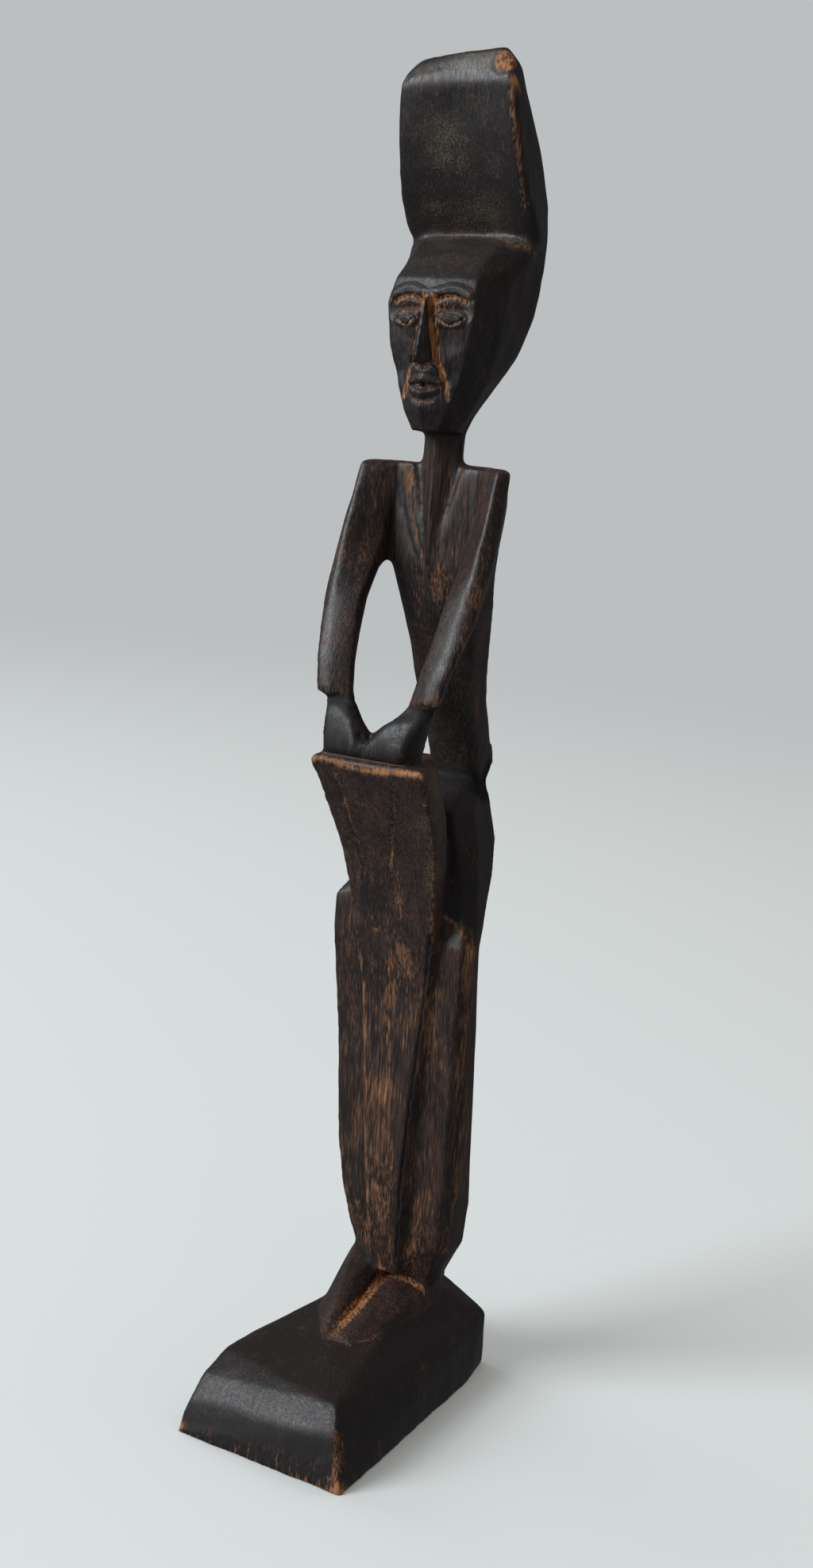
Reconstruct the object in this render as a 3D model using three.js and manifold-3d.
// Carved wooden drummer: a long-bodied figure on a wedge base, knees bent round a tall flared drum,
// both hands flat on its top, and a high block-shaped headdress. The real thing is one billet of hardwood.
// Here each region that a carver would block out is a solid of its own, and neighbours keep a hairline gap.
// Millimetres, +Z up. The figure looks along -Y, its own left hand is at +X, and the origin is the middle of
// the underside, so the whole carving stands on the plane z = 0.

import * as THREE from 'three';
import { ConvexGeometry } from 'three/addons/geometries/ConvexGeometry.js';
import { mergeVertices } from 'three/addons/utils/BufferGeometryUtils.js';
import Module from 'manifold-3d';

// ---- driving dimensions ------------------------------------------------------------------------------
const HEIGHT = 400;             // floor to the highest corner of the headdress
const BASE_LENGTH = 97;         // front edge to back edge of the base
const BASE_WIDTH = 57;          // across the front edge of the base
const GAP = 0.3;                // hairline between neighbouring solids
const SHOULDER_Z = 286;         // flat-cut shoulder tops
const HEM_Z = 192;              // hem of the jacket
const CHIN_Z = 295;             // underside of the chin
const HAIRLINE_Z = 350.5;       // where the forehead meets the headdress
const DRUM_TOP_Z = 202;         // middle of the drum head
const DRUM_FOOT_Z = 36;         // lower end of the drum, between the ankles

// ---- booleans ------------------------------------------------------------------------------------------
const wasm = await Module();
wasm.setup();

function toSolid(geometry) {
  const bare = geometry.index ? geometry.toNonIndexed() : geometry.clone();
  bare.deleteAttribute('normal');
  bare.deleteAttribute('uv');
  const merged = mergeVertices(bare, 1e-4);
  const vertProperties = Float32Array.from(merged.attributes.position.array);
  const triVerts = Uint32Array.from(merged.index.array);
  return new wasm.Manifold(new wasm.Mesh({ numProp: 3, vertProperties, triVerts }));
}

function toGeometry(solid) {
  const mesh = solid.getMesh();
  const geometry = new THREE.BufferGeometry();
  geometry.setAttribute('position', new THREE.BufferAttribute(Float32Array.from(mesh.vertProperties), 3));
  geometry.setIndex(Array.from(mesh.triVerts));
  return geometry;
}

function cutAway(geometry, ...tools) {
  let solid = toSolid(geometry);
  for (const tool of tools) {
    solid = solid.subtract(toSolid(tool));
  }
  return toGeometry(solid);
}

// ---- shape helpers -------------------------------------------------------------------------------------
// A level is a closed outline at one height: points [x, y] or [x, y, z], anticlockwise seen from above.
const level = (z, outline) => outline.map(([x, y, ownZ]) => new THREE.Vector3(x, y, ownZ ?? z));

// The same outline on the figure's right side, with the order turned so that it stays anticlockwise.
const mirrored = (outline) => outline.map(([x, y, z]) => (z === undefined ? [-x, y] : [-x, y, z])).reverse();

// An outline that is symmetric about x = 0, from its right-hand half listed front to back.
function symmetric(half) {
  const left = half.filter(([x]) => x > 0).map(([x, y, z]) => [-x, y, z]).reverse();
  return [...half, ...left];
}

// Skins a stack of outlines, which all have the same number of points, and closes both ends.
function stack(levels) {
  const count = levels[0].length;
  const positions = levels.flat().flatMap((point) => point.toArray());
  const index = [];
  for (let row = 0; row + 1 < levels.length; row += 1) {
    for (let column = 0; column < count; column += 1) {
      const next = (column + 1) % count;
      const low = row * count;
      const high = low + count;
      index.push(low + column, low + next, high + next);
      index.push(low + column, high + next, high + column);
    }
  }
  const capFaces = (points) => THREE.ShapeUtils.triangulateShape(
    points.map((point) => new THREE.Vector2(point.x, point.y)),
    [],
  );
  const top = (levels.length - 1) * count;
  for (const [a, b, c] of capFaces(levels[0])) {
    index.push(c, b, a);
  }
  for (const [a, b, c] of capFaces(levels.at(-1))) {
    index.push(top + a, top + b, top + c);
  }
  const geometry = new THREE.BufferGeometry();
  geometry.setAttribute('position', new THREE.Float32BufferAttribute(positions, 3));
  geometry.setIndex(index);
  return geometry;
}

// Moves every point of an outline away from its middle, to cut a neighbour with the hairline gap.
function grown(points, by) {
  const middle = points.reduce((sum, point) => sum.add(point), new THREE.Vector3()).divideScalar(points.length);
  return points.map((point) => {
    const away = new THREE.Vector3(point.x - middle.x, point.y - middle.y, 0).setLength(by);
    return point.clone().add(away);
  });
}

// A stack grown sideways by one gap and stretched past both of its ends.
function cutter(levels, past = GAP) {
  const wide = levels.map((points) => grown(points, 1.4 * GAP));
  const drop = new THREE.Vector3(0, 0, -past);
  const lift = new THREE.Vector3(0, 0, past);
  wide[0] = wide[0].map((point) => point.clone().add(drop));
  wide[wide.length - 1] = wide.at(-1).map((point) => point.clone().add(lift));
  return stack(wide);
}

const hull = (points) => new ConvexGeometry(points.map(([x, y, z]) => new THREE.Vector3(x, y, z)));

const lifted = (geometry, by) => geometry.clone().translate(0, 0, by);

// ---- base ----------------------------------------------------------------------------------------------
const baseFront = -BASE_LENGTH / 2;
const baseBack = BASE_LENGTH / 2;
const baseHalf = BASE_WIDTH / 2;

function makeBase() {
  const floor = [
    [baseHalf, baseFront, 0], [-baseHalf, baseFront, 0],
    [24.4, 33, 0], [-24.6, 33, 0],
    [21.2, baseBack, 0], [-21.6, baseBack, 0],
  ];
  const frontBreak = [[24.5, -46.3, 15.5], [-27.8, -46.3, 7]];
  const frontRidge = [[20.5, -40.6, 21.8], [-26.6, -40.5, 16]];
  const shoulders = [[-24.6, -32, 21.8], [-14, 5, 27.6], [5, -15, 24.9], [10.5, 12, 27.6]];
  const eaves = [
    [21.2, baseBack, 17.5], [-21.6, baseBack, 17.5],
    [24.9, 12, 13], [-25.3, 12, 14],
    [26.6, -22, 8], [-27.4, -22, 11],
  ];
  const backRidge = [[5.4, baseBack, 25.6], [-6, baseBack, 25.8], [8, 34, 28], [-9, 34, 28]];
  return hull([...floor, ...frontBreak, ...frontRidge, ...shoulders, ...eaves, ...backRidge]);
}

// ---- drum: a goblet with a flat front, narrow at the foot and flared at the rim ---------------------------
// height, half width of the front face, y of the front face, widest half width and its y, then the back;
// the flared rim leans a little towards the right hand
const DRUM_PROFILE = [
  { z: DRUM_FOOT_Z, half: 4.6, front: 16.3, side: 5.4, sideY: 19.5, backHalf: 3.5, back: 28 },
  { z: 50, half: 5.5, front: 14, side: 6.6, sideY: 17.6, backHalf: 4.5, back: 27 },
  { z: 75, half: 6.8, front: 10.6, side: 8.6, sideY: 15, backHalf: 6, back: 25 },
  { z: 110, half: 9.5, front: 9.6, side: 10.6, sideY: 12.6, backHalf: 7, back: 22 },
  { z: 127, half: 11.1, front: 8.8, side: 11.8, sideY: 12, backHalf: 7.5, back: 21 },
  { z: 145, half: 13.3, front: 6, side: 13.8, sideY: 9.6, backHalf: 8, back: 20 },
  { z: 160, half: 14.9, front: 2.8, side: 15, sideY: 8, backHalf: 9.5, back: 19 },
  { z: 172, half: 16.3, front: -0.8, side: 16.4, sideY: 5.6, backHalf: 9.5, back: 16.5 },
  { z: 185, half: 17.8, front: -7.5, side: 17.5, sideY: 1.5, backHalf: 9, back: 13 },
  { z: 199.6, half: 19.2, front: -15.9, side: 18, sideY: -6.4, backHalf: 8, back: 10, lean: -0.8 },
];

const drumOutline = ({ half, front, side, sideY, backHalf, back, lean = 0 }) => symmetric([
  [half, front], [side, sideY], [backHalf, back],
]).map(([x, y]) => [x + lean, y]);

function drumLevels() {
  const levels = DRUM_PROFILE.map((row) => level(row.z, drumOutline(row)));
  const rim = [
    [17.8, -15.6, DRUM_TOP_Z - 1], [16.4, -6.4, DRUM_TOP_Z], [6.9, 9.4, DRUM_TOP_Z + 0.4],
    [-8.1, 9.4, DRUM_TOP_Z + 0.4], [-18, -6.4, DRUM_TOP_Z], [-19.4, -15.6, DRUM_TOP_Z - 1],
  ];
  levels.push(level(DRUM_TOP_Z, rim));
  return levels;
}

// ---- legs and feet -----------------------------------------------------------------------------------------
// Left trouser leg from ankle to knee: inner front, worn front edge, outer edge, outer back, back, inner back.
const LEG_LEVELS_LEFT = [
  [34.6, [[3, 19.5, 35.4], [12.2, 22.5, 33], [13.4, 25, 32.6], [12.2, 33.6, 33.5], [10, 38, 34.5], [0.15, 40, 35.4]]],
  [41, [[2, 17.8], [15.4, 20], [17, 23.5], [15.8, 33], [11.6, 38.6], [0.15, 40]]],
  [47, [[2, 17.4], [17.2, 18.4], [19.2, 22], [19.3, 31.2], [13, 38], [0.15, 39.8]]],
  [60, [[2, 16.4], [18.2, 16.4], [20.3, 21], [20.4, 30.5], [15, 37.4], [0.15, 38.8]]],
  [75, [[2, 15.4], [19, 15.5], [21.4, 20.4], [21.5, 26.8], [15.4, 36], [0.15, 37.4]]],
  [110, [[2, 13], [19.4, 13.4], [21.8, 18], [22, 23.2], [15.6, 32.6], [0.15, 33.6]]],
  [145, [[2, 9.8], [21.2, 10.4], [22.8, 14.6], [22.5, 19], [16.4, 28], [0.15, 30]]],
];
const KNEE_LEFT = [[2, 9.6, 160], [20.6, 12.4, 151.5], [22.6, 16.4, 151], [22.2, 21, 151], [17, 29, 150], [0.15, 31, 150]];

// Right trouser leg: same build, but its front outer corner is left square and it ends higher on the foot.
const LEG_LEVELS_RIGHT = [
  [38, [[-0.15, 39.4, 38], [-10.5, 38, 41.6], [-12.6, 33.6, 42], [-12.8, 24, 42], [-12.2, 19, 42], [-3, 17.6, 38.6]]],
  [50, [[-0.15, 39.4], [-12, 38], [-15, 32], [-15.4, 23], [-15, 18], [-2, 16.8]]],
  [60, [[-0.15, 38.8], [-14, 37], [-17.4, 30.5], [-17.8, 21.6], [-17, 16.2], [-2, 15.6]]],
  [75, [[-0.15, 37.4], [-15, 36], [-20, 26.8], [-20, 20.4], [-19.5, 15.4], [-2, 14.8]]],
  [110, [[-0.15, 33.6], [-15.4, 32.6], [-21.6, 23.2], [-21.8, 18], [-21.4, 13.6], [-2, 12.8]]],
  [145, [[-0.15, 30], [-16, 28], [-22.8, 19], [-23.3, 14.6], [-23.2, 9.3], [-2, 9.6]]],
];
const KNEE_RIGHT = [
  [-0.15, 31, 150], [-17, 29, 150.5], [-22.4, 21, 152], [-23, 16.4, 153.4], [-23.3, 9.4, 154.6], [-2, 9.6, 162],
];

// Thighs run from the knees back and inwards to the hips.
const THIGH_LEVELS_LEFT = [
  [165, [[2, 12.6, 167], [17.4, 15.8], [19.8, 19.4], [18.6, 31], [14, 36], [0.15, 37]]],
  [174.5, [[0.15, 15], [13.4, 17], [16.8, 23], [15.6, 37], [11.6, 39.6], [0.15, 40.4]]],
  [184, [[0.15, 19], [9.2, 20.6], [12, 28], [10.6, 41], [8, 43], [0.15, 43.6]]],
  [HEM_Z - GAP, [[0.15, 32.4], [6.2, 32.8], [7.5, 35], [7.6, 42.4], [5.8, 43.8], [0.15, 44.2]]],
];

function legSolid(rows, knee, drumCutter) {
  const levels = rows.map(([z, outline]) => level(z, outline));
  levels.push(level(0, knee));
  return cutAway(stack(levels), drumCutter);
}

function thighSolid(rows, knee, drumCutter) {
  const foot = level(0, knee).map((point) => point.add(new THREE.Vector3(0, 0, GAP)));
  const levels = [foot, ...rows.map(([z, outline]) => level(z, outline))];
  return cutAway(stack(levels), drumCutter);
}

function makeLeftFoot(baseCutter, legCutter, drumCutter) {
  const foot = hull([
    [0.3, -14.6, 24], [8, -14.8, 23], [12, -8.6, 23], [13.4, 6, 24], [13.2, 24, 26], [10.4, 38, 26],
    [0.3, 39, 26], [0.5, -13.6, 26.2], [7, -13, 26.6], [10.8, -7.4, 26.4], [1, 10, 32.5], [11.8, 7, 29.6],
    [2, 19, 35], [12.4, 20, 31.8], [0.3, 39, 35], [11, 37, 34],
  ]);
  return cutAway(foot, baseCutter, legCutter, drumCutter);
}

function makeRightFoot(baseCutter, legCutter, drumCutter) {
  const foot = hull([
    [-0.3, -14.6, 24], [-1.6, -14.2, 25.4], [-10.4, -6.6, 24], [-14, 4, 26], [-14.4, 22, 26], [-12, 38, 26], [-0.3, 39, 26],
    [-6, 7, 35], [-13, 6, 29.5], [-5, 16.5, 38.4], [-12.2, 18.6, 42], [-12.6, 34, 42], [-0.3, 39, 38],
  ]);
  // The groove between the feet opens upwards and leans over to the right foot.
  const groove = hull([
    [0.6, -15, 24.6], [0.6, 21, 31], [-0.2, -14, 25], [-6, 7, 36], [-4.4, 17.4, 39.5], [1, 17.4, 39.5], [0.8, 7, 36],
  ]);
  return cutAway(foot, groove, baseCutter, legCutter, drumCutter);
}

// ---- torso in its jacket -----------------------------------------------------------------------------------
// height, y of the front middle, front corner, back corner, y of the back middle
const TORSO_PROFILE = [
  { z: HEM_Z, middle: 34.4, front: [6.4, 35], outer: [7.7, 37], back: [7.7, 44.4], rear: 45 },
  { z: 195, middle: 33, front: [7, 33.6], outer: [8.3, 35.8], back: [8.3, 45.4], rear: 46.2 },
  { z: 200, middle: 31.2, front: [7.2, 32], outer: [8.5, 34.4], back: [8.4, 44.4], rear: 45.2 },
  { z: 207, middle: 27.6, front: [7.4, 28.6], outer: [8.8, 31], back: [8.6, 40.9], rear: 42 },
  { z: 217, middle: 22.6, front: [7.8, 23.8], outer: [9.2, 26.4], back: [9, 36.2], rear: 37.4 },
  { z: 224, middle: 19.8, front: [8.4, 21.4], outer: [9.8, 24], back: [9.6, 34.4], rear: 35.6 },
  { z: 233, middle: 16.4, front: [9.4, 19], outer: [10.8, 21.6], back: [10.6, 32.6], rear: 33.8 },
  { z: 242, middle: 13, front: [11, 16], outer: [12.2, 19.4], back: [12, 30.2], rear: 31.6 },
  { z: 257, middle: 9.4, front: [14, 11.7], outer: [15, 16], back: [14.2, 26], rear: 27.6 },
  { z: 270, middle: 8.8, front: [14.2, 11.4], outer: [16, 16], back: [14.6, 27.6], rear: 28.6 },
  { z: SHOULDER_Z, middle: 9, front: [14.4, 11], outer: [16.4, 15.4], back: [13, 24.6], rear: 25.6 },
];

const torsoOutline = ({ middle, front, outer, back, rear }) => symmetric([
  [0, middle], front, outer, back, [0, rear],
]);

const torsoLevels = () => TORSO_PROFILE.map((row) => level(row.z, torsoOutline(row)));

// ---- neck, running down into the open collar as a wedge -----------------------------------------------------
const COLLAR_TIP_Z = 258;

function neckLevels() {
  const outline = (half, ridge, side, back) => symmetric([[0, ridge], [half, side], [0.6 * half, back]]);
  return [
    level(COLLAR_TIP_Z, outline(0.5, 8.2, 9.6, 10.4)),
    level(272, outline(3.4, 7.4, 10.6, 14)),
    level(SHOULDER_Z, outline(6.4, 7.2, 12.6, 18.4)),
    level(CHIN_Z + 3, outline(6.6, 7.4, 13, 18.6)),
  ];
}

// A shallow V-shaped opening in the jacket on both sides of the neck wedge, edged by the lapels.
function collarOpening() {
  const depth = 3.2;
  return hull([
    [0, 6, COLLAR_TIP_Z - 2], [-0.5, 9.8, COLLAR_TIP_Z - 2], [0.5, 9.8, COLLAR_TIP_Z - 2],
    [-9.6, 6, SHOULDER_Z + 2], [9.6, 6, SHOULDER_Z + 2],
    [-8.6, 9.2 + depth, SHOULDER_Z + 2], [8.6, 9.2 + depth, SHOULDER_Z + 2],
  ]);
}

// ---- arms ----------------------------------------------------------------------------------------------------
// Left sleeve: inner front, front ridge, outer edge, outer back, inner back.
const UPPER_SLEEVE = [
  [246, [[13.4, -4.6], [21.1, -7.8], [25.5, -5.6], [23.4, 0.6], [14.6, 1.6]]],
  [255, [[13.6, 1], [22, -4.8], [26, -2], [23.4, 4.8], [15, 8]]],
  [258.5, [[13.8, 3.4], [22.2, -3.8], [26.1, -0.6], [23.4, 6.6], [14.7, 13.4]]],
  [266, [[14, 7.4], [22.6, -1.6], [26.1, 2.4], [22.4, 11.4], [15.8, 16]]],
  [276, [[14.2, 9.4], [22.6, 2], [25.5, 6.6], [20.6, 16.4], [14.2, 23]]],
  [SHOULDER_Z, [[14, 10.4], [22.8, 5.2], [24.7, 9.8], [19, 18], [13.4, 23.6]]],
];
const CUFF_Z = 219;
const LOWER_SLEEVE = [
  [CUFF_Z, [[9.2, -12], [15.8, -15.2], [20.3, -15], [18.4, -9.2], [11.6, -7.8]]],
  [228, [[11, -10.2], [17.6, -13.4], [22, -13.2], [20, -7], [13, -5.4]]],
  [236, [[12.4, -7.8], [19.4, -10.8], [24, -9.6], [21.6, -3.6], [14, -2]]],
];
// Hands: inner front, front ridge, outer edge, outer back, inner back. The left one leans in over the middle of
// the drum, and the right one stands straight under its cuff. The right one is listed as if it were on the left.
const PALM_Z = DRUM_TOP_Z + 0.6;
const LEFT_HAND = [
  [PALM_Z, [[-3.1, -15.2], [9.6, -15.8], [11.8, -12], [12.6, -6.5], [-3.1, -7.6]]],
  [205.5, [[-3.1, -15.2], [10.4, -16], [12.6, -12.4], [13.2, -6.5], [-3.1, -9]]],
  [209, [[0.9, -15], [11.2, -15.6], [13.8, -12.6], [14.2, -7], [-3.1, -9]]],
  [215, [[6, -13], [12.4, -14.2], [16.6, -12.6], [16, -8], [7.4, -8]]],
  [CUFF_Z - GAP, [[9.2, -11], [14.4, -12.8], [18.2, -12.2], [16.6, -8.4], [10.8, -7.8]]],
];
const RIGHT_HAND = [
  [PALM_Z, [[3.4, -15.2], [4.4, -16], [17.2, -14.4], [16, -6], [3.4, -7.6]]],
  [206, [[3.4, -13.6], [5.4, -15.8], [17.4, -14.4], [15.6, -6.4], [3.4, -9]]],
  [209, [[3.4, -11.8], [6.6, -15.4], [17.4, -14.2], [15.6, -7], [3.4, -9]]],
  [214, [[6.8, -11.6], [8.8, -14.2], [17.7, -13.2], [16, -8], [8, -8.2]]],
  [CUFF_Z - GAP, [[9.2, -10.8], [10.6, -12.8], [18.2, -12], [16.8, -8.4], [11, -7.8]]],
];
const ELBOW = [[13.4, -4.6], [21.1, -7.8], [25.5, -5.6], [23.4, 0.6], [14.6, 1.6]];
const ELBOW_Z = 246;

const side = (sign, outline) => (sign > 0 ? outline : mirrored(outline));

function upperArm(sign, torsoCutter) {
  return cutAway(stack(UPPER_SLEEVE.map(([z, outline]) => level(z, side(sign, outline)))), torsoCutter);
}

function forearm(sign) {
  const levels = LOWER_SLEEVE.map(([z, outline]) => level(z, side(sign, outline)));
  levels.push(level(ELBOW_Z - GAP, side(sign, ELBOW)));
  return stack(levels);
}

function hand(sign, rows, drumCutter) {
  const levels = rows.map(([z, outline]) => level(z, side(sign, outline)));
  return cutAway(stack(levels), drumCutter);
}

// ---- head ----------------------------------------------------------------------------------------------------
// A plain mask on even thirds: chin to nose base, nose base to brow, brow to hairline.
const FACE_THIRD = (HAIRLINE_Z - CHIN_Z) / 3;
const HEAD_PROFILE = [
  { z: CHIN_Z, nose: 0.4, cheek: [4, 1.8], temple: [7, 7.5], back: [6.6, 14] },
  { z: CHIN_Z + 6, nose: -2.6, cheek: [7, 1], temple: [10, 9], back: [8, 17.4] },
  { z: CHIN_Z + 14, nose: -3.2, cheek: [10, 1.4], temple: [13.4, 11], back: [10.6, 23] },
  { z: CHIN_Z + 24, nose: -3, cheek: [12.8, 0.6], temple: [16, 11], back: [15, 28] },
  { z: CHIN_Z + 2 * FACE_THIRD - 2, nose: -3.2, cheek: [14, -0.2], temple: [17.4, 11], back: [17.6, 30.4] },
  { z: CHIN_Z + 2 * FACE_THIRD + 5, nose: -0.8, cheek: [12.8, 1.6], temple: [18, 13], back: [18.2, 31.4] },
  { z: HAIRLINE_Z - 7, nose: 5.4, cheek: [12.4, 7.6], temple: [19.4, 17], back: [18.6, 32] },
  { z: HAIRLINE_Z - 2.5, nose: 12.4, cheek: [13, 13.8], temple: [20.6, 20], back: [18.8, 32] },
  { z: HAIRLINE_Z, nose: 19, cheek: [14, 19.4], temple: [21, 22.4], back: [18.8, 31.8] },
];

const headOutline = ({ nose, cheek, temple, back }) => symmetric([[0, nose], cheek, temple, back]);

function makeHead(neckCutter) {
  const mask = toSolid(stack(HEAD_PROFILE.map((row) => level(row.z, headOutline(row)))));
  const noseBase = CHIN_Z + FACE_THIRD;
  const brow = CHIN_Z + 2 * FACE_THIRD;
  const nose = hull([
    [0, -7, noseBase + 1.5], [-3.4, -3, noseBase], [3.4, -3, noseBase], [0, 2, noseBase - 1],
    [-1.6, -2.4, brow + 1], [1.6, -2.4, brow + 1], [0, -4, brow - 2], [0, 2, brow + 1],
  ]);
  return cutAway(toGeometry(mask.add(toSolid(nose))), neckCutter);
}

// ---- headdress: a tall slab, dished in front, thick at the hairline and thin at the top -----------------------
// height, front middle y (dished), front edge, back edge, y of the back middle
const HEADDRESS_PROFILE = [
  { z: HAIRLINE_Z + GAP, dish: 19.2, front: [20.4, 18.8], edge: [21.6, 20.2], back: [18.8, 31.8], rear: 33.4 },
  { z: 356, dish: 16.2, front: [20.2, 15], edge: [21.4, 16.4], back: [18.6, 31.2], rear: 33 },
  { z: 362, dish: 13.2, front: [19.6, 11.4], edge: [20.8, 12.8], back: [18.4, 29.8], rear: 31.6 },
  { z: 368, dish: 10.8, front: [19, 8.8], edge: [20.2, 10.2], back: [18.2, 27.4], rear: 29.4 },
  { z: 376, dish: 8.2, front: [18.5, 6], edge: [19.6, 7.4], back: [18, 23.4], rear: 25.4 },
  { z: 384, dish: 6.4, front: [17.8, 4.1], edge: [18.9, 5.4], back: [17.6, 18.2], rear: 20 },
  { z: 390, dish: 4.4, front: [17.2, 3], edge: [18.2, 4.2], back: [17, 14], rear: 15.6 },
];

const headdressOutline = ({ dish, front, edge, back, rear }) => symmetric([
  [0, dish], front, edge, back, [0, rear],
]);

function makeHeaddress() {
  const levels = HEADDRESS_PROFILE.map((row) => level(row.z, headdressOutline(row)));
  // The crown rises to the left, and its front and both of its side corners are bevelled.
  const crown = [
    [0, 6.6, 398.6], [11.6, 6, 399.2], [13.6, 6.6, 399.4], [12.6, 9.8, HEIGHT], [0, 11, 399],
    [-13, 10.6, 397.4], [-14.6, 8.4, 396.8], [-12.4, 7, 397.2],
  ];
  levels.push(level(394.5, [
    [0, 5.2], [16.6, 4, 393.4], [17.4, 5.2, 394], [16.4, 12, 395], [0, 13.4], [-16.6, 12, 394],
    [-17.4, 5.4, 393], [-16.6, 4.4, 392.6],
  ]));
  levels.push(level(HEIGHT, crown));
  return stack(levels);
}

// ---- assembly ------------------------------------------------------------------------------------------------
const STAIN = { dark: 0x1c1512, body: 0x241a15, worn: 0x4a3222, face: 0x2a1d16 };

function piece(name, geometry, color) {
  const flat = geometry.index ? geometry.toNonIndexed() : geometry;
  flat.computeVertexNormals();
  const material = new THREE.MeshStandardMaterial({ color, roughness: 0.45, metalness: 0, flatShading: true });
  const mesh = new THREE.Mesh(flat, material);
  mesh.name = name;
  return mesh;
}

const drumCut = cutter(drumLevels());
const torsoCut = cutter(torsoLevels());
const neckCut = cutter(neckLevels());
const baseSolid = makeBase();
const baseCut = lifted(baseSolid, GAP);

const leftLeg = legSolid(LEG_LEVELS_LEFT, KNEE_LEFT, drumCut);
const rightLeg = legSolid(LEG_LEVELS_RIGHT, KNEE_RIGHT, drumCut);
const thighRowsRight = THIGH_LEVELS_LEFT.map(([z, outline]) => [z, mirrored(outline)]);

const drummer = new THREE.Group();
drummer.add(
  piece('base', baseSolid, STAIN.dark),
  piece('left_foot', makeLeftFoot(baseCut, lifted(leftLeg, -GAP), lifted(drumCut, -GAP)), STAIN.worn),
  piece('right_foot', makeRightFoot(baseCut, lifted(rightLeg, -GAP), lifted(drumCut, -GAP)), STAIN.worn),
  piece('left_lower_leg', leftLeg, STAIN.worn),
  piece('right_lower_leg', rightLeg, STAIN.worn),
  piece('left_thigh', thighSolid(THIGH_LEVELS_LEFT, KNEE_LEFT, drumCut), STAIN.dark),
  piece('right_thigh', thighSolid(thighRowsRight, KNEE_RIGHT, drumCut), STAIN.dark),
  piece('drum', stack(drumLevels()), STAIN.worn),
  piece('torso', cutAway(stack(torsoLevels()), collarOpening(), neckCut), STAIN.body),
  piece('neck', stack(neckLevels()), STAIN.body),
  piece('left_upper_arm', upperArm(1, torsoCut), STAIN.body),
  piece('right_upper_arm', upperArm(-1, torsoCut), STAIN.body),
  piece('left_forearm', forearm(1), STAIN.body),
  piece('right_forearm', forearm(-1), STAIN.body),
  piece('left_hand', hand(1, LEFT_HAND, drumCut), STAIN.dark),
  piece('right_hand', hand(-1, RIGHT_HAND, drumCut), STAIN.dark),
  piece('head', makeHead(neckCut), STAIN.face),
  piece('headdress', makeHeaddress(), STAIN.dark),
);

export default drummer;
